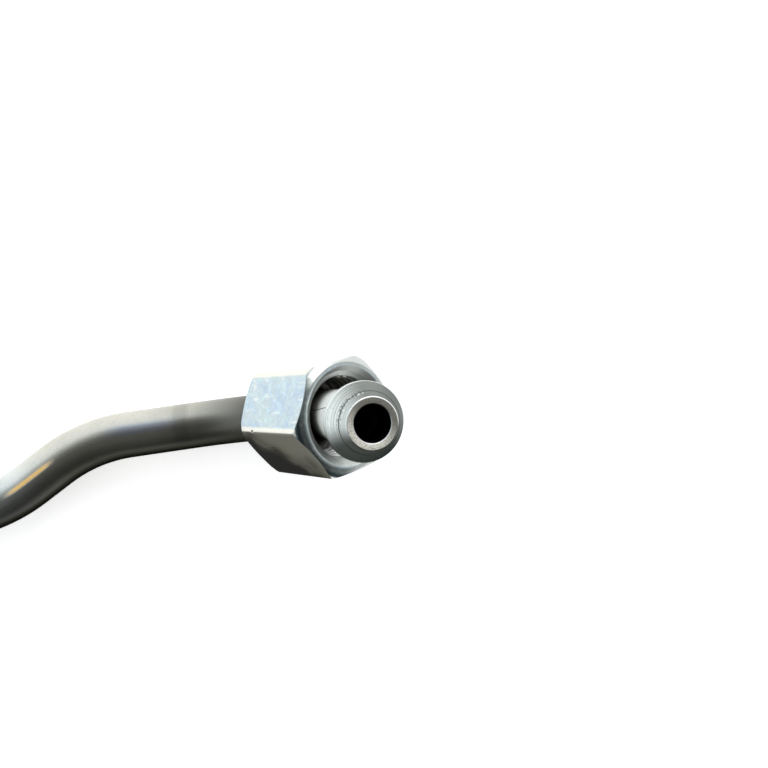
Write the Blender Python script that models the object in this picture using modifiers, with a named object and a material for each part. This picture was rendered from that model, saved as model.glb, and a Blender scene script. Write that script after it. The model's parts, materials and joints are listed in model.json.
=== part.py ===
"""Bent steel fuel injection pipe with a loose union nut held captive at each end.

Metres, +Z up. The pipe lies on its level run and both end legs rise from the surface it lies on.
The origin is in the middle of the footprint, on that surface. +X runs along the pipe to end A.
"""

import math

import bmesh
import bpy
from mathutils import Matrix, Vector

MM = 0.001

# Tube: cold-drawn steel, bent over one former
TUBE_OD = 8.0 * MM
TUBE_WALL = 1.5 * MM
BEND_RADIUS = 26.0 * MM
MIDDLE_RUN = 60.0 * MM
SIDESTEP_ANGLE = math.radians(30.0)
SIDESTEP_RUN = 5.5 * MM
LEVEL_LEG = 11.0 * MM
END_BEND = math.radians(77.0)
END_LEG = 15.0 * MM

# Head: upset from the tube end and turned to a sealing cone
FACE_DIAMETER = 7.1 * MM
NOSE_DIAMETER = 8.44 * MM
NOSE_LENGTH = 1.45 * MM
HEAD_DIAMETER = 11.0 * MM
CONE_LENGTH = 2.0 * MM
HEAD_BAND = 0.85 * MM
HEAD_BACK_ANGLE = math.radians(45.0)

# Union nut: hexagon with an M14 x 1.5 thread, whose bore here has the thread's minor diameter
ACROSS_FLATS = 17.0 * MM
NUT_LENGTH = 16.8 * MM
NUT_CHAMFER_DIAMETER = 16.4 * MM
NUT_CHAMFER_ANGLE = math.radians(30.0)
THREAD_BORE = 12.38 * MM
MOUTH_DIAMETER = 15.3 * MM
MOUTH_ANGLE = math.radians(45.0)
SEAT_ANGLE = math.radians(45.0)
HOLE_LAND = 2.0 * MM
RUNNING_GAP = 0.3 * MM

# Where each loose nut has come to rest: how far it has slid round the end bend, how far the tube
# lies from its axis at the mouth, and how far it is turned about that axis
NUT_REST_ANGLE = math.radians(41.3)
MOUTH_OFFSET = 1.34 * MM
MOUTH_ASIDE = -0.2 * MM
NUT_TURN_A = math.radians(-7.2)
NUT_TURN_B = math.radians(14.0)

TUBE_RADIUS = TUBE_OD / 2
BORE_RADIUS = TUBE_RADIUS - TUBE_WALL
NUT_CORNER_RADIUS = ACROSS_FLATS / math.sqrt(3)
SIDESTEP = 2 * BEND_RADIUS * (1 - math.cos(SIDESTEP_ANGLE)) + SIDESTEP_RUN * math.sin(SIDESTEP_ANGLE)
FOOTPRINT_MIDDLE = (SIDESTEP + NUT_CORNER_RADIUS - TUBE_RADIUS) / 2

BEND_STEP = math.radians(7.0)
TUBE_BEVEL_RESOLUTION = 10
BORE_BEVEL_RESOLUTION = 8
TURNED_STEPS = 40
SHARP_ANGLE = math.radians(28.0)
WELD = 0.001 * MM


def clear_scene():
    for obj in list(bpy.data.objects):
        bpy.data.objects.remove(obj)


def new_collection(name):
    collection = bpy.data.collections.new(name)
    bpy.context.scene.collection.children.link(collection)
    return collection


def metal(name, color, roughness):
    material = bpy.data.materials.new(name)
    material.use_nodes = True
    shader = material.node_tree.nodes["Principled BSDF"]
    shader.inputs["Base Color"].default_value = (*color, 1.0)
    shader.inputs["Metallic"].default_value = 1.0
    shader.inputs["Roughness"].default_value = roughness
    material.diffuse_color = (*color, 1.0)
    return material


def evaluated_mesh(obj):
    """The object's mesh with its modifiers applied and its loose caps welded."""
    graph = bpy.context.evaluated_depsgraph_get()
    mesh = bpy.data.meshes.new_from_object(obj.evaluated_get(graph))
    shape = bmesh.new()
    shape.from_mesh(mesh)
    bmesh.ops.remove_doubles(shape, verts=shape.verts, dist=WELD)
    shape.to_mesh(mesh)
    shape.free()
    return mesh


def as_solid(obj):
    """Turns the object into a plain mesh object in the same place."""
    name, place, collection = obj.name, obj.matrix_world.copy(), obj.users_collection[0]
    mesh = evaluated_mesh(obj)
    bpy.data.objects.remove(obj)
    solid = bpy.data.objects.new(name, mesh)
    solid.matrix_world = place
    collection.objects.link(solid)
    return solid


def turned(name, profile, collection):
    """A profile of (radius, height) points, from the top down its outer side, turned about +Z."""
    mesh = bpy.data.meshes.new(name)
    points = [(radius, 0.0, height) for radius, height in profile]
    mesh.from_pydata(points, [(i, i + 1) for i in range(len(points) - 1)], [])
    obj = bpy.data.objects.new(name, mesh)
    collection.objects.link(obj)
    screw = obj.modifiers.new("turn", "SCREW")
    screw.steps = TURNED_STEPS
    screw.render_steps = TURNED_STEPS
    screw.use_merge_vertices = True
    screw.merge_threshold = WELD
    return obj


def boolean(obj, operation, other):
    step = obj.modifiers.new(other.name, "BOOLEAN")
    step.operation = operation
    step.solver = "EXACT"
    step.object = other


def bend_points(radius, angle):
    """Points round a bend that starts at (0, 0) heading along (1, 0) and turns to the left."""
    steps = max(2, math.ceil(angle / BEND_STEP))
    turns = [angle * i / steps for i in range(steps + 1)]
    return [(radius * math.sin(turn), radius * (1 - math.cos(turn))) for turn in turns]


def end_bend_start():
    """Where the level leg of end A ends and its rising bend starts."""
    along = MIDDLE_RUN / 2 + 2 * BEND_RADIUS * math.sin(SIDESTEP_ANGLE)
    along += SIDESTEP_RUN * math.cos(SIDESTEP_ANGLE) + LEVEL_LEG
    return Vector((along, SIDESTEP - FOOTPRINT_MIDDLE, TUBE_RADIUS))


def half_path(end_leg):
    """Centreline points from the middle of the pipe to end A, with the end leg given."""
    level = [Vector((0, 0, 0)), Vector((MIDDLE_RUN / 2, 0, 0))]
    first_bend = [Vector((x, y, 0)) for x, y in bend_points(BEND_RADIUS, SIDESTEP_ANGLE)]
    level += [level[-1] + point for point in first_bend[1:]]
    across = Vector((math.cos(SIDESTEP_ANGLE), math.sin(SIDESTEP_ANGLE), 0)) * SIDESTEP_RUN
    level.append(level[-1] + across)
    # The second bend is the first one turned end for end, so it leads back to +X.
    last = first_bend[-1]
    level += [level[-1] + last - point for point in reversed(first_bend[:-1])]
    level = [point + Vector((0, -FOOTPRINT_MIDDLE, TUBE_RADIUS)) for point in level]
    start = end_bend_start()
    rise = [start + Vector((x, 0, z)) for x, z in bend_points(BEND_RADIUS, END_BEND)]
    tip = rise[-1] + Vector((math.cos(END_BEND), 0, math.sin(END_BEND))) * end_leg
    return level + rise + [tip]


def full_path(end_leg):
    half = half_path(end_leg)
    other_half = [Vector((-point.x, point.y, point.z)) for point in reversed(half[1:])]
    return other_half + half


def round_bar(name, points, radius, resolution, collection):
    """A closed bar of round section along the points."""
    curve = bpy.data.curves.new(name, "CURVE")
    curve.dimensions = "3D"
    curve.bevel_depth = radius
    curve.bevel_resolution = resolution
    curve.use_fill_caps = True
    spline = curve.splines.new("POLY")
    spline.points.add(len(points) - 1)
    for place, point in zip(spline.points, points):
        place.co = (*point, 1.0)
    obj = bpy.data.objects.new(name, curve)
    collection.objects.link(obj)
    return as_solid(obj)


def head_profile():
    """The head's outline from its end face, at height 0, down to inside the tube."""
    cone_foot = -NOSE_LENGTH - CONE_LENGTH
    band_foot = cone_foot - HEAD_BAND
    neck_radius = TUBE_RADIUS - RUNNING_GAP
    back_foot = band_foot - (HEAD_DIAMETER / 2 - neck_radius) / math.tan(HEAD_BACK_ANGLE)
    return [
        (0, 0),
        (FACE_DIAMETER / 2, 0),
        (NOSE_DIAMETER / 2, -NOSE_LENGTH),
        (HEAD_DIAMETER / 2, cone_foot),
        (HEAD_DIAMETER / 2, band_foot),
        (neck_radius, back_foot),
        (0, back_foot),
    ]


def end_leg_frame(side):
    """The frame of an end face: +Z out of the pipe. Side is 1 at end A and -1 at end B."""
    tip = half_path(END_LEG)[-1]
    out = Vector((side * math.cos(END_BEND), 0, math.sin(END_BEND)))
    turn = Vector((0, 0, 1)).rotation_difference(out).to_matrix().to_4x4()
    return Matrix.Translation((side * tip.x, tip.y, tip.z)) @ turn


def make_pipe(collection, cutters, material):
    """One drawn tube with a head formed on each end and its bore right through."""
    tube_end = END_LEG - NOSE_LENGTH
    pipe = round_bar("pipe", full_path(tube_end), TUBE_RADIUS, TUBE_BEVEL_RESOLUTION, collection)
    for name, side in (("head_a", 1), ("head_b", -1)):
        head = turned(name, head_profile(), cutters)
        head.matrix_world = end_leg_frame(side)
        boolean(pipe, "UNION", head)
    past_the_face = END_LEG + TUBE_WALL
    bore = round_bar("bore", full_path(past_the_face), BORE_RADIUS, BORE_BEVEL_RESOLUTION, cutters)
    boolean(pipe, "DIFFERENCE", bore)
    pipe = as_solid(pipe)
    finish(pipe, material)
    return pipe


def leg_point(distance):
    """Centreline of the rising end as (outward, up) from the start of its bend."""
    bent = BEND_RADIUS * END_BEND
    turn = min(distance / BEND_RADIUS, END_BEND)
    outward, up = BEND_RADIUS * math.sin(turn), BEND_RADIUS * (1 - math.cos(turn))
    straight = max(0.0, distance - bent)
    return Vector((outward + straight * math.cos(turn), up + straight * math.sin(turn)))


def tube_offset_at_mouth(rise):
    """How far the tube's centreline passes from the nut's axis in the plane of the nut's mouth."""
    axis = Vector((math.cos(rise), math.sin(rise)))
    hole = leg_point(BEND_RADIUS * NUT_REST_ANGLE)
    reach = NUT_LENGTH - HOLE_LAND / 2
    near, far = BEND_RADIUS * NUT_REST_ANGLE, BEND_RADIUS * NUT_REST_ANGLE + 2 * NUT_LENGTH
    for _ in range(40):
        middle = (near + far) / 2
        if (leg_point(middle) - hole).dot(axis) < reach:
            near = middle
        else:
            far = middle
    return axis.cross(leg_point(near) - hole)


def nut_rise():
    """The nut's slope from the level, which puts the tube MOUTH_OFFSET from its axis at the mouth."""
    low, high = NUT_REST_ANGLE, math.radians(90.0)
    for _ in range(40):
        middle = (low + high) / 2
        if tube_offset_at_mouth(middle) > MOUTH_OFFSET:
            low = middle
        else:
            high = middle
    return low


def hole_radius():
    """The back hole, which clears the slanting tube by the running gap all round."""
    lean = nut_rise() - NUT_REST_ANGLE
    return TUBE_RADIUS / math.cos(lean) + HOLE_LAND / 2 * math.tan(lean) + RUNNING_GAP


def nut_frame(side, turn):
    """Origin in the middle of the back hole, +Z along the nut's axis to its mouth, +Y to a corner."""
    rise = nut_rise()
    hole = leg_point(BEND_RADIUS * NUT_REST_ANGLE)
    start = end_bend_start()
    place = Vector((side * (start.x + hole.x), start.y, start.z + hole.y))
    reach = NUT_LENGTH - HOLE_LAND / 2
    axis = Vector((side * math.cos(rise) * reach, MOUTH_ASIDE, math.sin(rise) * reach)).normalized()
    level = Vector((0, 0, 1)).cross(axis).normalized()
    corner = math.cos(turn) * axis.cross(level) + math.sin(turn) * level
    turned_frame = Matrix((corner.cross(axis), corner, axis)).transposed().to_4x4()
    return Matrix.Translation(place) @ turned_frame


def nut_mesh(collection):
    """Hexagon with 30 degree chamfers, bored through, with its seat cone and its mouth chamfer."""
    back, mouth = -HOLE_LAND / 2, NUT_LENGTH - HOLE_LAND / 2
    shape = bmesh.new()
    bmesh.ops.create_cone(
        shape,
        cap_ends=True,
        segments=6,
        radius1=NUT_CORNER_RADIUS,
        radius2=NUT_CORNER_RADIUS,
        depth=NUT_LENGTH,
        matrix=Matrix.Translation((0, 0, (back + mouth) / 2)),
    )
    mesh = bpy.data.meshes.new("hexagon")
    shape.to_mesh(mesh)
    shape.free()
    nut = bpy.data.objects.new("hexagon", mesh)
    collection.objects.link(nut)

    outside = NUT_CORNER_RADIUS + HOLE_LAND
    face = NUT_CHAMFER_DIAMETER / 2
    drop = (outside - face) * math.tan(NUT_CHAMFER_ANGLE)
    envelope = [(0, mouth), (face, mouth), (outside, mouth - drop)]
    envelope += [(outside, back + drop), (face, back), (0, back)]
    boolean(nut, "INTERSECT", turned("chamfers", envelope, collection))

    bore, hole, rim = THREAD_BORE / 2, hole_radius(), MOUTH_DIAMETER / 2
    mouth_depth = (rim - bore) / math.tan(MOUTH_ANGLE)
    seat_rise = (bore - hole) / math.tan(SEAT_ANGLE)
    past = RUNNING_GAP
    hollow = [(0, mouth + past), (rim, mouth + past), (rim, mouth), (bore, mouth - mouth_depth)]
    hollow += [(bore, -back + seat_rise), (hole, -back), (hole, back - past), (0, back - past)]
    boolean(nut, "DIFFERENCE", turned("hollow", hollow, collection))

    mesh = evaluated_mesh(nut)
    mesh.name = "union_nut"
    return mesh


def make_nut(name, mesh, frame, collection, material):
    nut = bpy.data.objects.new(name, mesh)
    nut.location = frame.to_translation()
    nut.rotation_euler = frame.to_euler()
    collection.objects.link(nut)
    finish(nut, material)
    return nut


def finish(obj, material):
    obj.data.materials.clear()
    obj.data.materials.append(material)
    obj.data.shade_smooth()
    obj.data.set_sharp_from_angle(angle=SHARP_ANGLE)


def main():
    clear_scene()
    parts = new_collection("fuel_injection_pipe")
    cutters = new_collection("cutters")
    make_pipe(parts, cutters, metal("drawn_steel", (0.50, 0.49, 0.46), 0.36))
    mesh = nut_mesh(cutters)
    zinc = metal("zinc_plate", (0.78, 0.81, 0.84), 0.34)
    make_nut("union_nut_a", mesh, nut_frame(1, NUT_TURN_A), parts, zinc)
    make_nut("union_nut_b", mesh, nut_frame(-1, NUT_TURN_B), parts, zinc)
    for helper in list(cutters.objects):
        bpy.data.objects.remove(helper)
    bpy.data.collections.remove(cutters)


main()
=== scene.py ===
"""The finish of a bent steel fuel injection pipe and its two loose zinc-plated union nuts."""

import json
import math

import bmesh
import bpy
from mathutils import Matrix, Vector


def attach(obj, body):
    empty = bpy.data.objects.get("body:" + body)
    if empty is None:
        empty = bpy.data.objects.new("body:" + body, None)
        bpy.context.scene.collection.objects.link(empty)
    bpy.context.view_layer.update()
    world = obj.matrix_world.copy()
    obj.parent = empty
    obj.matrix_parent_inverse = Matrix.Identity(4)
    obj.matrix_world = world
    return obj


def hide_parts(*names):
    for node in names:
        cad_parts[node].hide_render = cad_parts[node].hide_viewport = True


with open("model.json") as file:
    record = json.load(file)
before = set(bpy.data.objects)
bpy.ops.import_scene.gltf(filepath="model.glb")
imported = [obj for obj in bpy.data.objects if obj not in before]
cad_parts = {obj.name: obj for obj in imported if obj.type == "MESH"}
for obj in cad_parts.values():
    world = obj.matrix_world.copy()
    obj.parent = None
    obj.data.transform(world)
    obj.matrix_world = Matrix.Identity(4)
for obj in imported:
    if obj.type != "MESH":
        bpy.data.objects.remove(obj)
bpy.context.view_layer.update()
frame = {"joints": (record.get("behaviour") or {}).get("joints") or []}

# Pipe. One cold-drawn steel tube, 8 mm outside with a 5 mm bore, bent over a single former.
# Each end is upset into a head and turned to a blunt sealing cone, so tube and heads are one piece.
# It is modelled straight, as it leaves the lathe, and then bent along its route.
MM = 0.001
TUBE_RADIUS = 4.0 * MM
BORE_RADIUS = 2.5 * MM
BORE_CHAMFER = 0.16 * MM
BEND_RADIUS = 26.0 * MM
MIDDLE_RUN = 60.0 * MM
SIDESTEP_ANGLE = math.radians(30.0)
SIDESTEP_RUN = 5.5 * MM
LEVEL_LEG = 11.0 * MM
END_BEND = math.radians(77.0)
END_LEG = 15.0 * MM
FACE_RADIUS = 3.55 * MM
FACE_CHAMFER = 0.14 * MM
NOSE_RADIUS = 4.22 * MM
NOSE_LENGTH = 1.45 * MM
NOSE_STEP = 0.09 * MM
HEAD_RADIUS = 5.5 * MM
CONE_LENGTH = 2.0 * MM
HEAD_BAND = 0.85 * MM
EDGE_WEAR = 0.07 * MM
WEAR_SEGMENTS = 2
SHARP_EDGE = math.radians(24.0)
PIPE_SIDES = 80
LONG_EDGE = 8.0 * MM
BEND_CUTS = 14
ROUTE_STEP = math.radians(1.0)
WELD = 0.001 * MM


def only(obj):
    """Makes this object the active one, with nothing else selected."""
    bpy.ops.object.select_all(action="DESELECT")
    obj.select_set(True)
    bpy.context.view_layer.objects.active = obj


def select_in_edit(obj, kind, chosen):
    """In edit mode, selects exactly the verts, edges or faces for which chosen(element) holds."""
    shape = bmesh.from_edit_mesh(obj.data)
    bpy.context.tool_settings.mesh_select_mode = [kind == k for k in ("verts", "edges", "faces")]
    for layer in (shape.verts, shape.edges, shape.faces):
        for element in layer:
            element.select = False
    for element in getattr(shape, kind):
        if chosen(element):
            element.select_set(True)
    bmesh.update_edit_mesh(obj.data)


def turned(name, profile, sides, filled):
    """A circle drawn out along +Z and resized to each (height, radius) of the profile in turn."""
    bpy.ops.object.select_all(action="DESELECT")
    height, radius = profile[0]
    bpy.ops.mesh.primitive_circle_add(
        vertices=sides, radius=radius, fill_type="NGON" if filled else "NOTHING"
    )
    piece = bpy.context.object
    piece.name = piece.data.name = name
    bpy.ops.object.mode_set(mode="EDIT")
    bpy.ops.mesh.select_all(action="SELECT")
    bpy.ops.transform.translate(value=(0, 0, height))
    if filled:
        bpy.ops.mesh.select_mode(type="FACE")
        bpy.ops.mesh.select_all(action="SELECT")
    for (low, before), (high, after) in zip(profile, profile[1:]):
        bpy.ops.mesh.extrude_region_move(TRANSFORM_OT_translate={"value": (0, 0, high - low)})
        size = after / before
        bpy.ops.transform.resize(value=(size, size, 1), center_override=(0, 0, high))
    bpy.ops.object.mode_set(mode="OBJECT")
    return piece


def apply_modifier(obj, kind, **settings):
    """Adds a modifier with its settings and applies it at once."""
    only(obj)
    step = obj.modifiers.new(kind.lower(), kind)
    for key, value in settings.items():
        setattr(step, key, value)
    bpy.ops.object.modifier_apply(modifier=step.name)


def wear_edges(obj, width):
    """Rounds every sharp edge by a narrow bevel."""
    apply_modifier(
        obj,
        "BEVEL",
        width=width,
        segments=WEAR_SEGMENTS,
        limit_method="ANGLE",
        angle_limit=SHARP_EDGE,
    )


def close_up(obj):
    """Merges doubles and turns every face outwards."""
    only(obj)
    bpy.ops.object.mode_set(mode="EDIT")
    bpy.ops.mesh.select_all(action="SELECT")
    bpy.ops.mesh.remove_doubles(threshold=WELD)
    bpy.ops.mesh.select_all(action="SELECT")
    bpy.ops.mesh.normals_make_consistent(inside=False)
    bpy.ops.object.mode_set(mode="OBJECT")


def shade(obj):
    """Smooth shading that keeps sharp edges sharp and broad faces flat."""
    only(obj)
    bpy.ops.object.shade_smooth_by_angle(angle=SHARP_EDGE)
    apply_modifier(obj, "WEIGHTED_NORMAL", keep_sharp=True, weight=100)


def keep_places(obj, name):
    """Stores where each point is now as a named vector, for a finish that goes with the piece."""
    places = obj.data.attributes.new(name, "FLOAT_VECTOR", "POINT")
    for value, vertex in zip(places.data, obj.data.vertices):
        value.vector = vertex.co


def arc(radius, angle):
    """Points round a bend from (0, 0), heading along (1, 0) and turning left, without the first."""
    steps = round(angle / ROUTE_STEP)
    turns = [angle * (i + 1) / steps for i in range(steps)]
    return [(radius * math.sin(turn), radius * (1 - math.cos(turn))) for turn in turns]


def route_to_end_a():
    """The centreline from the middle of the pipe to the face of end A, level run first."""
    slanted = Vector((math.cos(SIDESTEP_ANGLE), math.sin(SIDESTEP_ANGLE), 0))
    run_across = SIDESTEP_RUN * math.sin(SIDESTEP_ANGLE)
    sidestep = 2 * BEND_RADIUS * (1 - math.cos(SIDESTEP_ANGLE)) + run_across
    middle_y = Vector(frame["joints"][0]["pos_m"]).y - sidestep
    points = [Vector((x, middle_y, TUBE_RADIUS)) for x in (0, MIDDLE_RUN / 2)]
    out = arc(BEND_RADIUS, SIDESTEP_ANGLE)
    points += [points[1] + Vector((x, y, 0)) for x, y in out]
    points.append(points[-1] + SIDESTEP_RUN * slanted)
    corner, (last_x, last_y) = points[-1], out[-1]
    points += [corner + Vector((last_x - x, last_y - y, 0)) for x, y in [*reversed(out[:-1]), (0, 0)]]
    points.append(points[-1] + Vector((LEVEL_LEG, 0, 0)))
    start = points[-1]
    points += [start + Vector((x, 0, z)) for x, z in arc(BEND_RADIUS, END_BEND)]
    points.append(points[-1] + END_LEG * Vector((math.cos(END_BEND), 0, math.sin(END_BEND))))
    return points


half_route = route_to_end_a()
route = [Vector((-p.x, p.y, p.z)) for p in reversed(half_route[1:])] + half_route
PIPE_LENGTH = 2 * (
    MIDDLE_RUN / 2 + SIDESTEP_RUN + LEVEL_LEG + END_LEG + BEND_RADIUS * (2 * SIDESTEP_ANGLE + END_BEND)
)

cone_foot = NOSE_LENGTH + CONE_LENGTH
band_foot = cone_foot + HEAD_BAND
back_foot = band_foot + HEAD_RADIUS - TUBE_RADIUS
head_outline = [
    (0, BORE_RADIUS + BORE_CHAMFER),
    (0, FACE_RADIUS - FACE_CHAMFER),
    (FACE_CHAMFER, FACE_RADIUS),
    (NOSE_LENGTH - NOSE_STEP, NOSE_RADIUS - NOSE_STEP),
    (NOSE_LENGTH, NOSE_RADIUS + NOSE_STEP / 2),
    (cone_foot, HEAD_RADIUS),
    (band_foot, HEAD_RADIUS),
    (back_foot, TUBE_RADIUS),
]
outline = head_outline + [(PIPE_LENGTH - along, radius) for along, radius in reversed(head_outline)]
outline += [(PIPE_LENGTH - BORE_CHAMFER, BORE_RADIUS), (BORE_CHAMFER, BORE_RADIUS), head_outline[0]]
pipe = turned("pipe_tube_and_heads", outline, PIPE_SIDES, filled=False)
close_up(pipe)
wear_edges(pipe, EDGE_WEAR)
bpy.ops.object.mode_set(mode="EDIT")
for _ in range(2):
    select_in_edit(pipe, "edges", lambda edge: edge.calc_length() > LONG_EDGE)
    bpy.ops.mesh.subdivide(number_cuts=BEND_CUTS)
bpy.ops.object.mode_set(mode="OBJECT")
keep_places(pipe, "straight")

curve = bpy.data.curves.new("route", "CURVE")
curve.dimensions = "3D"
curve.use_path = True
line = curve.splines.new("POLY")
line.points.add(len(route) - 1)
for place, point in zip(line.points, route):
    place.co = (*point, 1.0)
guide = bpy.data.objects.new("route", curve)
bpy.context.scene.collection.objects.link(guide)
apply_modifier(pipe, "CURVE", object=guide, deform_axis="POS_Z")
bpy.data.objects.remove(guide)
close_up(pipe)
shade(pipe)


def add_node(material, kind, inputs=(), **settings):
    """A shader node with its settings. Each input is a value, or the output socket to join to it."""
    new = material.node_tree.nodes.new("ShaderNode" + kind)
    for key, value in settings.items():
        setattr(new, key, value)
    for key, value in dict(inputs).items():
        if isinstance(value, bpy.types.NodeSocket):
            material.node_tree.links.new(value, new.inputs[key])
        else:
            new.inputs[key].default_value = value
    return new


def calc(material, operation, one, other=0.0):
    """A Math node's result."""
    return add_node(material, "Math", {0: one, 1: other}, operation=operation).outputs[0]


def times(material, one, other):
    """The product: where two masks meet, or a mask at part of its strength."""
    return calc(material, "MULTIPLY", one, other)


def fade(material, value, low, high):
    """0 up to low and 1 from high on, smooth between them. With high under low it runs the other way."""
    inputs = {"Value": value, "From Min": low, "From Max": high}
    return add_node(material, "MapRange", inputs, interpolation_type="SMOOTHSTEP").outputs[0]


def within(material, value, low, high, soft):
    """1 between low and high, fading to 0 over soft on both sides."""
    rise = fade(material, value, low - soft, low)
    return times(material, rise, fade(material, value, high + soft, high))


def tint(material, factor, under, over):
    """The colour under, with the colour over laid on it by factor."""
    return add_node(material, "Mix", {0: factor, 6: under, 7: over}, data_type="RGBA").outputs[2]


def laid_on(material, under, over, pattern, low, high, share):
    """The colour under, with up to share of the colour over where the pattern is high."""
    return tint(material, times(material, fade(material, pattern, low, high), share), under, over)


def facing(material, vector, direction):
    """How far a vector reaches in a direction: for a normal, from -1 to 1."""
    inputs = {0: vector, 1: Vector(direction).normalized()}
    return add_node(material, "VectorMath", inputs, operation="DOT_PRODUCT").outputs["Value"]


def side(material, vector, direction, low, high):
    """0 where the vector reaches low or less in a direction, and 1 where it reaches high."""
    return fade(material, facing(material, vector, direction), low, high)


def from_axis(material, places):
    """The places without their height, and their distance from the piece's own axis."""
    flat = add_node(material, "VectorMath", {0: places, 1: (1, 1, 0)}, operation="MULTIPLY")
    distance = add_node(material, "VectorMath", {0: flat.outputs[0]}, operation="LENGTH")
    return flat.outputs[0], distance.outputs["Value"]


def grain(material, places, scale, detail=3.0, roughness=0.55, stretch=(1, 1, 1)):
    """Noise over the given places, from 0 to 1, with its size in cells per metre."""
    vector = add_node(material, "Mapping", {"Vector": places, "Scale": stretch}).outputs[0]
    inputs = {"Vector": vector, "Scale": scale, "Detail": detail, "Roughness": roughness}
    return add_node(material, "TexNoise", inputs).outputs[0]


def raise_surface(material, shader, height, distance):
    """Relief too fine to model: the pattern of heights from 0 to 1, raised by the distance."""
    bump = add_node(material, "Bump", {"Height": height, "Distance": distance, "Strength": 1.0})
    material.node_tree.links.new(bump.outputs[0], shader.inputs["Normal"])


def new_finish(name):
    """A material and its shader."""
    material = bpy.data.materials.new(name)
    material.use_nodes = True
    return material, material.node_tree.nodes["Principled BSDF"]


# The pipe's finish. Its masks go by the distance to the nearer end, by the place on the straight
# pipe, which the mesh keeps as "straight", and by the way that the surface faces.
drawn_steel, steel_shader = new_finish("drawn_steel")
straight = add_node(drawn_steel, "Attribute", attribute_name="straight").outputs["Vector"]
coordinates = add_node(drawn_steel, "TexCoord").outputs
here, normal = coordinates["Object"], coordinates["Normal"]
here_x, here_y, here_z = add_node(drawn_steel, "SeparateXYZ", {0: here}).outputs
_, straight_y, from_b = add_node(drawn_steel, "SeparateXYZ", {0: straight}).outputs
_, radius_here = from_axis(drawn_steel, straight)
to_end = calc(drawn_steel, "MINIMUM", from_b, calc(drawn_steel, "SUBTRACT", PIPE_LENGTH, from_b))

WHITE = (1, 1, 1, 1)
STEEL = (0.67, 0.655, 0.585, 1)
STEEL_BRIGHT = (0.75, 0.79, 0.77, 1)
STEEL_DULL = (0.39, 0.385, 0.345, 1)
STEEL_BLUE_REFLECTION = (0.50, 0.58, 0.74, 1)
STEEL_GOLD_REFLECTION = (1.0, 0.63, 0.16, 1)
STEEL_SHADED = (0.05, 0.05, 0.042, 1)
HEAD_HIGHLIGHT = (0.92, 0.99, 0.96, 1)
STEEL_STAIN_AND_SHADE = (0.08, 0.088, 0.08, 1)
STEEL_DUST = (0.1, 0.1, 0.09, 1)
HEAD_GREY = (0.27, 0.285, 0.265, 1)
HEAD_SHADE = (0.13, 0.14, 0.13, 1)
HEAD_LINES = (0.16, 0.18, 0.17, 1)
NECK_GREY = (0.90, 0.92, 0.89, 1)
FACE_LIGHT = (0.86, 0.84, 0.75, 1)
FACE_DARK = (0.23, 0.22, 0.19, 1)
BORE_SHADE = (0.01, 0.01, 0.01, 1)
EDGE_DIM = (0.12, 0.12, 0.12, 1)

# The drawn tube: satin, duller where the former wiped it, with painted reflections, a blue band and a
# gold streak, beside the first bend, and painted shade towards the nut and on end A's flank away from
# the light.
STREAKS = (1600, 3, 0.6)
STREAK_STRETCH = (1, 1, 0.03)
CLOUDS = (130, 3, 0.6)
CLOUD_SPOTS = (0.35, 0.75, 0.3)
DULL_SPAN = (58 * MM, 44 * MM)
BRIGHT_SPAN = (72 * MM, 84 * MM)
CLAMP_BAND = (50.9 * MM, 52.2 * MM, 1.2 * MM)
CLAMP_SHARE = 0.25
BLUE_BAND = (61 * MM, 66 * MM, 5 * MM)
BLUE_SIDE = (0, 1, 0)
BLUE_ROUND = (0.2, 0.4, 0.2)
BLUE_SHARE = 0.6
GOLD_BAND = (42.5 * MM, 46.5 * MM, 3 * MM)
GOLD_SIDE = (-0.5, 0.866, 0)
GOLD_ROUND = (0.13, 0.17, 0.12)
GOLD_SHARE = 0.95
NUT_SHADE_SPAN = (50 * MM, 34 * MM)
NUT_SHADE_SHARE = 0.82
SHADED_END_SPAN = (5 * MM, 30 * MM)
SHADE_UPPER = ((0, 0, 1), -0.05, 0.12)
SHADE_SIDE = ((0, -1, 0), -0.1, 0.8)

streaks = grain(drawn_steel, straight, *STREAKS, stretch=STREAK_STRETCH)
clouds = grain(drawn_steel, straight, *CLOUDS)
tube_color = tint(drawn_steel, fade(drawn_steel, to_end, *DULL_SPAN), STEEL, STEEL_DULL)
tube_color = tint(drawn_steel, fade(drawn_steel, to_end, *BRIGHT_SPAN), tube_color, STEEL_BRIGHT)
clamp_mark = times(drawn_steel, within(drawn_steel, to_end, *CLAMP_BAND), CLAMP_SHARE)
tube_color = tint(drawn_steel, clamp_mark, tube_color, STEEL_SHADED)
# Painted reflections: a blue band and a gold streak, each on a narrow band of facing along the tube near
# end A.
blue_reflection = within(drawn_steel, facing(drawn_steel, normal, BLUE_SIDE), *BLUE_ROUND)
blue_reflection = times(drawn_steel, within(drawn_steel, here_x, *BLUE_BAND), blue_reflection)
tube_color = tint(drawn_steel, times(drawn_steel, blue_reflection, BLUE_SHARE), tube_color, STEEL_BLUE_REFLECTION)
gold_reflection = within(drawn_steel, facing(drawn_steel, normal, GOLD_SIDE), *GOLD_ROUND)
gold_reflection = times(drawn_steel, within(drawn_steel, here_x, *GOLD_BAND), gold_reflection)
tube_color = tint(drawn_steel, times(drawn_steel, gold_reflection, GOLD_SHARE), tube_color, STEEL_GOLD_REFLECTION)
tube_color = laid_on(drawn_steel, tube_color, STEEL_DULL, clouds, *CLOUD_SPOTS)
# Painted shade: the tube is painted darker towards each nut, and rougher there.
nut_shade = times(drawn_steel, fade(drawn_steel, to_end, *NUT_SHADE_SPAN), NUT_SHADE_SHARE)
tube_color = tint(drawn_steel, nut_shade, tube_color, STEEL_SHADED)
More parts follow.
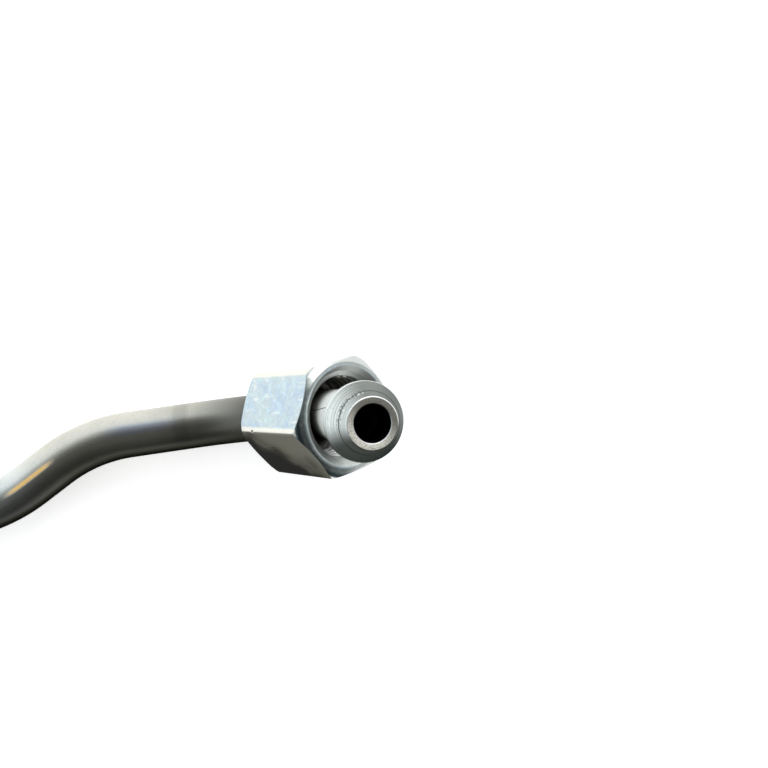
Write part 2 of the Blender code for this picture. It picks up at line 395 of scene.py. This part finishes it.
# Painted shade: at end A the flank that faces -Y and upwards is painted near black, as shade.
shaded_end = fade(drawn_steel, here_x, *SHADED_END_SPAN)
shade_flank = times(drawn_steel, side(drawn_steel, normal, *SHADE_UPPER), shaded_end)
shaded = times(drawn_steel, side(drawn_steel, normal, *SHADE_SIDE), shade_flank)
tube_color = tint(drawn_steel, shaded, tube_color, STEEL_SHADED)

# The turned head: a painted highlight on the side facing -X and painted shade on the others, with fine
# tool lines, a dark line of painted shade at the foot of its nose, nicks beside that line, and two
# painted rim highlights.
TOOL_LINES = (3800, 3, 0.65)
DARK_LINES = (0.42, 0.62, 0.38)
LIT_SIDE = (-1, 0.1, 0)
HALF_LIT = (-0.9, -0.2)
FULLY_LIT = (-0.05, 0.85)
LOW_SIDE = ((-0.3, -1, 0), 0.08, 0.62)
NOSE_BAND = (NOSE_LENGTH - NOSE_STEP, NOSE_LENGTH, 0.03 * MM)
NOSE_LINE_SHARE = 0.7
NICKED_BAND = (NOSE_LENGTH - 0.4 * MM, NOSE_LENGTH + 0.15 * MM, 0.1 * MM)
NICKED_SIDE = ((-0.7, 0.7, 0), 0.4, 0.75)
NICKS = (3200, 2, 0.5)
DARK_NICKS = (0.54, 0.6)
DARK_NICK_SHARE = 0.75
LIGHT_NICKS = (0.42, 0.36)
FACE_RIM = (0.03 * MM, FACE_CHAMFER, 0.02 * MM)
HEAD_RIM = (cone_foot - 0.08 * MM, cone_foot + 0.06 * MM, 0.03 * MM)
RIM_SIDE = ((0.3, 0.95, 0), 0.0, 0.3)
HEAD_SPAN = (back_foot, back_foot - 0.2 * MM)

turning = add_node(drawn_steel, "CombineXYZ", {0: radius_here, 1: to_end, 2: 0.0}).outputs[0]
tool_lines = grain(drawn_steel, turning, *TOOL_LINES)
# Painted highlight and shade: the head is painted bright where it faces -X and darker where it faces
# away.
to_light = facing(drawn_steel, normal, LIT_SIDE)
head_color = tint(drawn_steel, fade(drawn_steel, to_light, *HALF_LIT), HEAD_SHADE, HEAD_GREY)
head_color = tint(drawn_steel, fade(drawn_steel, to_light, *FULLY_LIT), head_color, HEAD_HIGHLIGHT)
# Painted shade: at end A the head's side facing -Y is painted near black. The same dark colour serves
# real pits, nicks and the scratch.
low_side_shade = times(drawn_steel, side(drawn_steel, normal, *LOW_SIDE), shaded_end)
head_color = tint(drawn_steel, low_side_shade, head_color, STEEL_STAIN_AND_SHADE)
head_color = laid_on(drawn_steel, head_color, HEAD_LINES, tool_lines, *DARK_LINES)
# Painted shade: a dark line in the step at the foot of the nose.
nose_step_shade = times(drawn_steel, within(drawn_steel, to_end, *NOSE_BAND), NOSE_LINE_SHARE)
head_color = tint(drawn_steel, nose_step_shade, head_color, STEEL_STAIN_AND_SHADE)
nicked = within(drawn_steel, to_end, *NICKED_BAND)
nicked = times(drawn_steel, nicked, side(drawn_steel, normal, *NICKED_SIDE))
nicks = grain(drawn_steel, straight, *NICKS)
dark_nicks = times(drawn_steel, nicked, fade(drawn_steel, nicks, *DARK_NICKS))
dark_nicks = times(drawn_steel, dark_nicks, DARK_NICK_SHARE)
head_color = tint(drawn_steel, dark_nicks, head_color, STEEL_STAIN_AND_SHADE)
light_nicks = times(drawn_steel, nicked, fade(drawn_steel, nicks, *LIGHT_NICKS))
head_color = tint(drawn_steel, light_nicks, head_color, WHITE)
# Painted highlights: the face rim and the head rim are painted white on the side facing +Y.
face_rim = within(drawn_steel, to_end, *FACE_RIM)
rim_highlights = calc(drawn_steel, "MAXIMUM", face_rim, within(drawn_steel, to_end, *HEAD_RIM))
rim_highlights = times(drawn_steel, rim_highlights, side(drawn_steel, normal, *RIM_SIDE))
head_color = tint(drawn_steel, rim_highlights, head_color, WHITE)
on_head = fade(drawn_steel, to_end, *HEAD_SPAN)

# The end face, pitted and darker towards one side, and the bore, painted near black as shade.
FACE_SPAN = (0.03 * MM, 0.01 * MM)
FACE_SLANT = 0.6
FACE_SPREAD = (-3 * MM, 2 * MM)
SPECKLE = (4200, 4, 0.7)
PITS = (0.45, 0.7, 0.5)
DUST = (0.5, 0.75, 0.35)
BORE_SPAN = (BORE_RADIUS + 0.06 * MM, BORE_RADIUS + 0.02 * MM)

is_face = fade(drawn_steel, to_end, *FACE_SPAN)
speckle = grain(drawn_steel, straight, *SPECKLE)
across_face = calc(drawn_steel, "SUBTRACT", here_y, half_route[-1].y)
across_face = calc(drawn_steel, "SUBTRACT", across_face, times(drawn_steel, straight_y, FACE_SLANT))
face_color = tint(drawn_steel, fade(drawn_steel, across_face, *FACE_SPREAD), FACE_LIGHT, FACE_DARK)
face_color = laid_on(drawn_steel, face_color, STEEL_STAIN_AND_SHADE, speckle, *PITS)
in_bore = fade(drawn_steel, radius_here, *BORE_SPAN)

# The neck behind the head: pale steel that the nut keeps covered, with one scratch round it.
NECK_START = (back_foot - 0.2 * MM, back_foot)
NECK_END = (20 * MM, 13 * MM)
SCRATCH_START = Vector((93.07, 3.31, 23.63)) * MM
SCRATCH_ACROSS = (-0.371, -0.901, 0.224)
SCRATCH_WIDTH = (0.09 * MM, 0.04 * MM)
SCRATCH_BAND = (SCRATCH_START.z, 29.2 * MM, 0.3 * MM)
SCRATCH_REACH = ((1, 0, 0), -2 * MM, -1 * MM)
SCRATCH_SIDE = ((-1, 0, 0), 0.3, 0.5)

neck = fade(drawn_steel, to_end, *NECK_START)
neck = times(drawn_steel, neck, fade(drawn_steel, to_end, *NECK_END))
from_scratch = add_node(drawn_steel, "VectorMath", {0: here, 1: SCRATCH_START}, operation="SUBTRACT")
from_scratch = from_scratch.outputs[0]
beside = calc(drawn_steel, "ABSOLUTE", facing(drawn_steel, from_scratch, SCRATCH_ACROSS))
scratch = fade(drawn_steel, beside, *SCRATCH_WIDTH)
scratch = times(drawn_steel, scratch, within(drawn_steel, here_z, *SCRATCH_BAND))
scratch = times(drawn_steel, scratch, side(drawn_steel, from_scratch, *SCRATCH_REACH))
scratch = times(drawn_steel, scratch, side(drawn_steel, normal, *SCRATCH_SIDE))
neck_color = tint(drawn_steel, scratch, NECK_GREY, STEEL_STAIN_AND_SHADE)

# The parts of the finish together. The gold streak, neck and face show as paint-like films, less
# metallic and rougher; where shade is painted, the steel's own glancing shine is dimmed too.
FILM_SHARE = 0.8
STEEL_ROUGHNESS = 0.30
FILM_ROUGHNESS = 0.25
STREAK_ROUGHNESS = 0.10
NUT_SHADE_ROUGHNESS = 0.2
STREAK_HEIGHT = 0.25
STEEL_RELIEF = 0.03 * MM

color = tint(drawn_steel, neck, tube_color, neck_color)
color = tint(drawn_steel, on_head, color, head_color)
color = tint(drawn_steel, is_face, color, face_color)
color = tint(drawn_steel, in_bore, color, BORE_SHADE)
color = laid_on(drawn_steel, color, STEEL_DUST, speckle, *DUST)
drawn_steel.node_tree.links.new(color, steel_shader.inputs["Base Color"])

dim = calc(drawn_steel, "MAXIMUM", shaded, low_side_shade)
shade_edge_tint = tint(drawn_steel, dim, WHITE, EDGE_DIM)
drawn_steel.node_tree.links.new(shade_edge_tint, steel_shader.inputs["Specular Tint"])
film = calc(drawn_steel, "MAXIMUM", calc(drawn_steel, "MAXIMUM", is_face, neck), gold_reflection)
metal_share = calc(drawn_steel, "SUBTRACT", 1.0, times(drawn_steel, film, FILM_SHARE))
drawn_steel.node_tree.links.new(metal_share, steel_shader.inputs["Metallic"])
rough = calc(drawn_steel, "ADD", STEEL_ROUGHNESS, times(drawn_steel, film, FILM_ROUGHNESS))
rough = calc(drawn_steel, "ADD", rough, times(drawn_steel, streaks, STREAK_ROUGHNESS))
rough = calc(drawn_steel, "ADD", rough, times(drawn_steel, nut_shade, NUT_SHADE_ROUGHNESS))
drawn_steel.node_tree.links.new(rough, steel_shader.inputs["Roughness"])

relief = times(drawn_steel, tool_lines, on_head)
relief = calc(drawn_steel, "ADD", relief, times(drawn_steel, streaks, STREAK_HEIGHT))
raise_surface(drawn_steel, steel_shader, relief, STEEL_RELIEF)
pipe.data.materials.append(drawn_steel)
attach(pipe, "pipe")
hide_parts("pipe")

# Union nuts. Hexagon bar, 17 mm across flats, drilled for the tube, threaded M14 x 1.5 and zinc plated.
# Each is trapped behind its head and hangs loose on the tube, where it turns freely.
# One nut is made, with its axis along +Z from the middle of its back hole, and then copied.
ACROSS_FLATS = 17.0 * MM
NUT_LENGTH = 16.8 * MM
NUT_FACE_RADIUS = 8.2 * MM
NUT_CHAMFER = math.radians(30.0)
NUT_SHOULDER_RADIUS = 9.2 * MM
NUT_SHOULDER = math.radians(55.0)
NUT_CORNER_WEAR = 0.32 * MM
NUT_CORNER_SEGMENTS = 3
CLEAR_OF_CORNERS = 1.0 * MM
NUT_EDGE_WEAR = 0.1 * MM
HOLE_RADIUS = 4.633 * MM
HOLE_LAND = 2.0 * MM
THREAD_CREST = 6.19 * MM
THREAD_ROOT = 7.02 * MM
THREAD_PITCH = 1.5 * MM
THREAD_RUNOUT = 2.6 * MM
THREAD_FLANK = math.radians(30.0)
THREAD_FLAT = THREAD_PITCH / 16
THREAD_START = THREAD_PITCH * 1.6
SPARE_TURNS = 2
MOUTH_RADIUS = 7.65 * MM
NUT_SIDES = 96
PAST = 0.3 * MM
NICK_RADIUS = 0.33 * MM
NICK_PLACE = (0.12 * MM, 9.7 * MM, 3.4 * MM)
NUT_TURNS = {"union_nut_a": math.radians(-7.2), "union_nut_b": math.radians(14.0)}

back, mouth = -HOLE_LAND / 2, NUT_LENGTH - HOLE_LAND / 2
corner_radius = ACROSS_FLATS / math.sqrt(3)


def cut(obj, operation, cutter):
    apply_modifier(obj, "BOOLEAN", operation=operation, solver="EXACT", object=cutter)
    bpy.data.objects.remove(cutter)


def thread_rod():
    """A rod with the thread's own groove raised round it, cut square at both ends."""
    slope = (THREAD_ROOT - THREAD_CREST + PAST / 2) * math.tan(THREAD_FLANK)
    middle = THREAD_PITCH / 2
    low, high = middle - THREAD_FLAT, middle + THREAD_FLAT
    under = THREAD_CREST - PAST / 2
    steps = [(0, under), (low - slope, under), (low, THREAD_ROOT)]
    steps += [(high, THREAD_ROOT), (high + slope, under), (THREAD_PITCH, under)]
    bpy.ops.object.select_all(action="DESELECT")
    bpy.ops.mesh.primitive_circle_add(vertices=3, radius=under)
    rod = bpy.context.object
    shape = bmesh.new()
    points = [shape.verts.new((radius, 0, height)) for height, radius in steps]
    for one, other in zip(points, points[1:]):
        shape.edges.new((one, other))
    shape.to_mesh(rod.data)
    shape.free()
    turns = math.ceil(NUT_LENGTH / THREAD_PITCH) + SPARE_TURNS
    apply_modifier(
        rod,
        "SCREW",
        screw_offset=THREAD_PITCH,
        iterations=turns,
        steps=NUT_SIDES,
        render_steps=NUT_SIDES,
        use_merge_vertices=True,
        merge_threshold=WELD,
    )
    bpy.ops.object.mode_set(mode="EDIT")
    bpy.ops.mesh.select_all(action="SELECT")
    bpy.ops.mesh.remove_doubles(threshold=WELD)
    foot, top = THREAD_START, THREAD_START + mouth + PAST - THREAD_RUNOUT - HOLE_LAND
    for height, inner in ((foot, True), (top, False)):
        bpy.ops.mesh.select_all(action="SELECT")
        bpy.ops.mesh.bisect(
            plane_co=(0, 0, height), plane_no=(0, 0, 1), clear_inner=inner, clear_outer=not inner
        )
    bpy.ops.mesh.select_all(action="SELECT")
    bpy.ops.mesh.fill_holes(sides=0)
    bpy.ops.mesh.select_all(action="SELECT")
    bpy.ops.transform.translate(value=(0, 0, mouth + PAST - top))
    bpy.ops.object.mode_set(mode="OBJECT")
    close_up(rod)
    return rod


def is_long_corner(edge):
    """Whether an edge is one of the six that run along the hexagon."""
    one, other = edge.verts
    return edge.calc_length() > NUT_LENGTH / 2 and one.co.z != other.co.z


bpy.ops.object.select_all(action="DESELECT")
bpy.ops.mesh.primitive_cylinder_add(
    vertices=6, radius=corner_radius, depth=NUT_LENGTH, location=(0, 0, (back + mouth) / 2)
)
nut = bpy.context.object
nut.name = "union_nut"
bpy.ops.object.transform_apply()
bpy.ops.object.mode_set(mode="EDIT")
select_in_edit(nut, "edges", is_long_corner)
bpy.ops.mesh.bevel(offset=NUT_CORNER_WEAR, segments=NUT_CORNER_SEGMENTS)
bpy.ops.object.mode_set(mode="OBJECT")
outside = corner_radius + CLEAR_OF_CORNERS
shoulder = (NUT_SHOULDER_RADIUS - NUT_FACE_RADIUS) * math.tan(NUT_CHAMFER)
drop = shoulder + (outside - NUT_SHOULDER_RADIUS) * math.tan(NUT_SHOULDER)
half_envelope = [(0, NUT_FACE_RADIUS), (shoulder, NUT_SHOULDER_RADIUS), (drop, outside)]
envelope = [(back + along, radius) for along, radius in half_envelope]
envelope += [(mouth - along, radius) for along, radius in reversed(half_envelope)]
cut(nut, "INTERSECT", turned("chamfers", envelope, NUT_SIDES, filled=True))
wear_edges(nut, NUT_EDGE_WEAR)
mouth_foot = mouth - (MOUTH_RADIUS - THREAD_CREST)
seat_top = -back + THREAD_CREST - HOLE_RADIUS
hollow = [
    (back - PAST, HOLE_RADIUS),
    (-back, HOLE_RADIUS),
    (seat_top, THREAD_CREST),
    (mouth_foot, THREAD_CREST),
    (mouth, MOUTH_RADIUS),
    (mouth + PAST, MOUTH_RADIUS),
]
cut(nut, "DIFFERENCE", turned("hollow", hollow, NUT_SIDES, filled=True))
cut(nut, "DIFFERENCE", thread_rod())
close_up(nut)

# The nuts' finish. It goes with each nut as it turns, by the places that the mesh keeps as "in_nut".
zinc, zinc_shader = new_finish("zinc_plate")
in_nut = add_node(zinc, "Attribute", attribute_name="in_nut").outputs["Vector"]
_, _, nut_height = add_node(zinc, "SeparateXYZ", {0: in_nut}).outputs
nut_here, nut_radius = from_axis(zinc, in_nut)

ZINC = (0.60, 0.71, 0.74, 1)
ZINC_COOL = (0.52, 0.65, 0.77, 1)
ZINC_ICY = (0.66, 0.86, 0.90, 1)
ZINC_WHITE = (0.98, 0.97, 0.93, 1)
ZINC_CREAM = (0.93, 0.90, 0.80, 1)
ZINC_TARNISHED = (0.15, 0.135, 0.105, 1)
ZINC_GREY = (0.62, 0.64, 0.61, 1)
ZINC_SHADE = (0.215, 0.25, 0.25, 1)
ZINC_SHADE_DARK = (0.06, 0.085, 0.09, 1)
ZINC_BORE = (0.30, 0.31, 0.28, 1)
ZINC_EDGE_DIM = (0.1, 0.1, 0.08, 1)
FLAT_SHADE_GREY = (0.25, 0.245, 0.215, 1)
FLAT_SHADE_DARK = (0.03, 0.027, 0.017, 1)

# The plating: cool and icy crystals with light strokes, a painted highlight on one flat, and cream at
# the worn corners.
SPANGLE = (700, 4, 0.6)
DRIFT = (330, 3, 0.6)
PATCHES = (1500, 3, 0.7)
STROKES = (1300, 2, 0.5)
STROKE_STRETCH = (1.0, 0.5, 0.25)
COOL_DRIFT = (0.42, 0.62)
ICY_SPANGLE = (0.5, 0.68, 0.6)
WHITE_STROKES = (0.54, 0.76, 0.6)
TARNISHED_PATCHES = (0.3, 0.7, 0.16)
LIT_FLAT = ((1, 0, 0), 8.3 * MM, 8.42 * MM)
LIT_FLAT_SHARE = 0.6
WORN_CORNERS = (corner_radius - 0.5 * MM, corner_radius - 0.3 * MM, 0.85)

spangle = grain(zinc, in_nut, *SPANGLE)
patches = grain(zinc, in_nut, *PATCHES)
strokes = grain(zinc, in_nut, *STROKES, stretch=STROKE_STRETCH)
drift = fade(zinc, grain(zinc, in_nut, *DRIFT), *COOL_DRIFT)
zinc_color = tint(zinc, drift, ZINC, ZINC_COOL)
zinc_color = laid_on(zinc, zinc_color, ZINC_ICY, spangle, *ICY_SPANGLE)
zinc_color = laid_on(zinc, zinc_color, ZINC_WHITE, strokes, *WHITE_STROKES)
zinc_color = laid_on(zinc, zinc_color, ZINC_TARNISHED, patches, *TARNISHED_PATCHES)
# Painted highlight: the flat that faces the light is painted near white.
lit_flat_highlight = times(zinc, side(zinc, nut_here, *LIT_FLAT), LIT_FLAT_SHARE)
zinc_color = tint(zinc, lit_flat_highlight, zinc_color, ZINC_WHITE)
zinc_color = laid_on(zinc, zinc_color, ZINC_CREAM, nut_radius, *WORN_CORNERS)

# The shaded flat: painted shade, grey, darkening to near black towards the back and away from the next,
# lighter flat.
SHADED_FLAT = ((-0.5, 0.866, 0), 8.3 * MM, 8.42 * MM)
LIGHTER_EDGE = (0.866, 0.5, 0)
UNEVEN = (260, 1, 0.4)
UNEVEN_REACH = 9 * MM
SHADE_SLANT = 0.55
SHADE_SPAN = (3.0 * MM, -4.0 * MM)

# Painted shade: one flat is painted grey, fading to near black, as shade.
shaded_flat = side(zinc, nut_here, *SHADED_FLAT)
uneven = calc(zinc, "SUBTRACT", grain(zinc, in_nut, *UNEVEN), 0.5)
uneven = times(zinc, uneven, UNEVEN_REACH)
along = times(zinc, calc(zinc, "SUBTRACT", nut_height, NUT_LENGTH / 2), SHADE_SLANT)
flat_shade = calc(zinc, "ADD", calc(zinc, "ADD", facing(zinc, nut_here, LIGHTER_EDGE), along), uneven)
flat_shade = fade(zinc, flat_shade, *SHADE_SPAN)
zinc_color = tint(zinc, shaded_flat, zinc_color, tint(zinc, flat_shade, FLAT_SHADE_GREY, FLAT_SHADE_DARK))

# The turned end: grey, with painted slate shade, scuffed, on the side with the shaded flat, darkest at
# its corners.
CHAMFER_SPAN = (mouth - 0.25 * MM, mouth - 0.1 * MM)
MOUTH_SPAN = (mouth_foot - 0.1 * MM, mouth_foot)
MOUTH_RIM_SPAN = (MOUTH_RADIUS + 0.1 * MM, MOUTH_RADIUS)
TURNED_SHARE = 0.9
SHADED_CHAMFER_SIDE = ((-0.26, 0.966, 0), 2 * MM, 5 * MM)
SCUFFS = (0.5, 0.72, 0.3)
CORNER_SPAN = (8.5 * MM, 9.1 * MM)

slope = times(zinc, calc(zinc, "SUBTRACT", nut_radius, NUT_FACE_RADIUS), math.tan(NUT_CHAMFER))
on_chamfer = fade(zinc, calc(zinc, "ADD", nut_height, slope), *CHAMFER_SPAN)
in_mouth = fade(zinc, nut_height, *MOUTH_SPAN)
in_mouth = times(zinc, in_mouth, fade(zinc, nut_radius, *MOUTH_RIM_SPAN))
turned_zinc = times(zinc, calc(zinc, "MAXIMUM", on_chamfer, in_mouth), TURNED_SHARE)
zinc_color = tint(zinc, turned_zinc, zinc_color, ZINC_GREY)
# Painted shade: the chamfer on one side is painted slate, darkest at its corners.
chamfer_shade = times(zinc, on_chamfer, side(zinc, nut_here, *SHADED_CHAMFER_SIDE))
chamfer_shade_color = laid_on(zinc, ZINC_SHADE, ZINC_GREY, patches, *SCUFFS)
chamfer_shade_color = tint(zinc, fade(zinc, nut_radius, *CORNER_SPAN), chamfer_shade_color, ZINC_SHADE_DARK)
zinc_color = tint(zinc, chamfer_shade, zinc_color, chamfer_shade_color)

# Inside: dull grey thread, with a row of painted glints as dots and one long painted glint where the
# light reaches in.
UNDER_MOUTH_SPAN = (mouth_foot, mouth_foot - 0.1 * MM)
INSIDE_SPAN = (THREAD_ROOT + 0.2 * MM, THREAD_ROOT)
DOT_LINE = (0.485, 0.875, 0)
DOT_WIDTH = (0.4 * MM, 0.25 * MM)
DOT_BAND = (11 * MM, 14 * MM, 0.3 * MM)
DOT_SIDE = ((0.875, -0.485, 0), 5 * MM, 6 * MM)
GLINT_SIDE = ((-1, 0.08, 0), 6.0 * MM, 6.1 * MM)
GLINT_BAND = (5.5 * MM, 13 * MM, 0.5 * MM)

inside = fade(zinc, nut_height, *UNDER_MOUTH_SPAN)
inside = times(zinc, inside, fade(zinc, nut_radius, *INSIDE_SPAN))
zinc_color = tint(zinc, inside, zinc_color, ZINC_BORE)
glint_dots = fade(zinc, calc(zinc, "ABSOLUTE", facing(zinc, nut_here, DOT_LINE)), *DOT_WIDTH)
glint_dots = times(zinc, glint_dots, within(zinc, nut_height, *DOT_BAND))
glint_dots = times(zinc, glint_dots, side(zinc, nut_here, *DOT_SIDE))
glint = side(zinc, nut_here, *GLINT_SIDE)
glint = times(zinc, glint, within(zinc, nut_height, *GLINT_BAND))
painted_glints = times(zinc, inside, calc(zinc, "MAXIMUM", glint_dots, glint))
zinc_color = tint(zinc, painted_glints, zinc_color, ZINC_WHITE)

# The parts of the finish together, with no glancing shine where shade is painted, on the shaded flat and
# chamfer.
ZINC_METAL = 0.85
ZINC_ROUGHNESS = 0.26
PATCH_ROUGHNESS = 0.2
PATCH_HEIGHT = 0.4
ZINC_RELIEF = 0.05 * MM

zinc_edge = tint(zinc, calc(zinc, "MAXIMUM", shaded_flat, chamfer_shade), WHITE, ZINC_EDGE_DIM)
zinc.node_tree.links.new(zinc_edge, zinc_shader.inputs["Specular Tint"])
zinc.node_tree.links.new(zinc_color, zinc_shader.inputs["Base Color"])
zinc_shader.inputs["Metallic"].default_value = ZINC_METAL
zinc_rough = calc(zinc, "ADD", ZINC_ROUGHNESS, times(zinc, patches, PATCH_ROUGHNESS))
zinc.node_tree.links.new(zinc_rough, zinc_shader.inputs["Roughness"])
zinc_relief = calc(zinc, "ADD", spangle, times(zinc, patches, PATCH_HEIGHT))
raise_surface(zinc, zinc_shader, zinc_relief, ZINC_RELIEF)
nut.data.materials.clear()
nut.data.materials.append(zinc)

for joint in frame["joints"]:
    name = joint["child"]
    axis = Vector(joint["axis"]).normalized()
    level = Vector((0, 0, 1)).cross(axis).normalized()
    turn = NUT_TURNS[name]
    corner = math.cos(turn) * axis.cross(level) + math.sin(turn) * level
    place = Matrix((corner.cross(axis), corner, axis)).transposed().to_4x4()
    place.translation = Vector(joint["pos_m"])
    copy = bpy.data.objects.new(name + "_dressed", nut.data.copy())
    bpy.context.scene.collection.objects.link(copy)
    if name == "union_nut_a":
        bpy.ops.object.select_all(action="DESELECT")
        bpy.ops.mesh.primitive_ico_sphere_add(subdivisions=2, radius=NICK_RADIUS, location=NICK_PLACE)
        bpy.ops.object.transform_apply()
        cut(copy, "DIFFERENCE", bpy.context.object)
    keep_places(copy, "in_nut")
    shade(copy)
    copy.data.transform(place)
    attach(copy, name)
    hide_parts(name)
bpy.data.objects.remove(nut)

# Studio. A sheet of pale paper that glows a little to the eye, a wide soft lamp overhead and a small
# window lamp behind to the right. The room is dark above and in front, so the metal keeps its contrast;
# a bright wall curves round behind and to the left, and a lower pale one stands to the right.
FLOOR_SIZE = 40.0
FLOOR_GLOW = 0.6
PAPER_WHITE = (0.82, 0.82, 0.82, 1)
PAPER_ROUGHNESS = 0.9
OVERHEAD_PLACE = Vector((-0.3, 0.3, 0.95))
OVERHEAD_SIZE = 1.2
OVERHEAD_WATTS = 5.5
WINDOW_PLACE = Vector((0.43, 0.54, 0.42))
WINDOW_SIZE = 0.3
WINDOW_WATTS = 1.2
ROOM_DARK = (0.05, 0.05, 0.047, 1)
ROOM_HORIZON = (0.75, 0.76, 0.75, 1)
HORIZON_TOP = (0.22, 0.08)
WALL_LIGHT = (1.14, 1.2, 1.24, 1)
WALL_SIDE = ((-0.5, 0.85, 0.0), -0.35, 0.1)
WALL_TOP = (0.85, 0.45)
RIGHT_WALL_SIDE = ((1, 0.2, 0), 0.3, 0.7)
RIGHT_WALL_TOP = (0.55, 0.3)

bpy.ops.object.select_all(action="DESELECT")
bpy.ops.mesh.primitive_plane_add(size=FLOOR_SIZE)
floor = bpy.context.object
floor.name = "floor"
paper, paper_shader = new_finish("paper")
paper_shader.inputs["Base Color"].default_value = PAPER_WHITE
paper_shader.inputs["Roughness"].default_value = PAPER_ROUGHNESS
paper_shader.inputs["Specular IOR Level"].default_value = 0.0
paper_shader.inputs["Emission Color"].default_value = WHITE
ray = add_node(paper, "LightPath").outputs
reflected = calc(paper, "ADD", ray["Is Glossy Ray"], ray["Is Transmission Ray"])
seen = calc(paper, "MINIMUM", calc(paper, "ADD", ray["Is Camera Ray"], reflected), 1.0)
paper.node_tree.links.new(times(paper, seen, FLOOR_GLOW), paper_shader.inputs["Emission Strength"])
floor.data.materials.append(paper)


def soft_lamp(name, place, size, watts):
    """A square lamp that faces the pipe."""
    data = bpy.data.lights.new(name, "AREA")
    data.size = size
    data.energy = watts
    lamp = bpy.data.objects.new(name, data)
    lamp.location = place
    lamp.rotation_euler = place.to_track_quat("Z", "Y").to_euler()
    bpy.context.scene.collection.objects.link(lamp)
    return lamp


soft_lamp("overhead", OVERHEAD_PLACE, OVERHEAD_SIZE, OVERHEAD_WATTS).visible_glossy = False
soft_lamp("window", WINDOW_PLACE, WINDOW_SIZE, WINDOW_WATTS)

world = bpy.data.worlds.new("studio")
world.use_nodes = True
bpy.context.scene.world = world
toward = add_node(world, "TexCoord").outputs["Generated"]
height = add_node(world, "SeparateXYZ", {0: toward}).outputs[2]
wall = times(world, side(world, toward, *WALL_SIDE), fade(world, height, *WALL_TOP))
right_wall = side(world, toward, *RIGHT_WALL_SIDE)
right_wall = times(world, right_wall, fade(world, height, *RIGHT_WALL_TOP))
low_wall = calc(world, "MAXIMUM", fade(world, height, *HORIZON_TOP), right_wall)
room = tint(world, low_wall, ROOM_DARK, ROOM_HORIZON)
room = tint(world, wall, room, WALL_LIGHT)
camera_ray = add_node(world, "LightPath").outputs["Is Camera Ray"]
room = tint(world, camera_ray, room, WHITE)
world.node_tree.links.new(room, world.node_tree.nodes["Background"].inputs["Color"])

# Camera, where the photograph was taken from: nearly straight above end A, close to it.
CAMERA_PLACE = Vector((94.357, 12.434, 123.941)) * MM
CAMERA_RIGHT = Vector((0.98573, -0.13259, 0.10372))
CAMERA_UP = Vector((0.13851, 0.98899, -0.05206))
CAMERA_LENS = 31.392
camera_data = bpy.data.cameras.new("camera")
camera_data.lens = CAMERA_LENS
camera_data.clip_start = 1.0 * MM
camera = bpy.data.objects.new("camera", camera_data)
bpy.context.scene.collection.objects.link(camera)
back_axis = CAMERA_RIGHT.cross(CAMERA_UP).normalized()
camera.matrix_world = Matrix((CAMERA_RIGHT, CAMERA_UP, back_axis)).transposed().to_4x4()
camera.location = CAMERA_PLACE
bpy.context.scene.camera = camera
bpy.context.scene.view_settings.view_transform = "Standard"
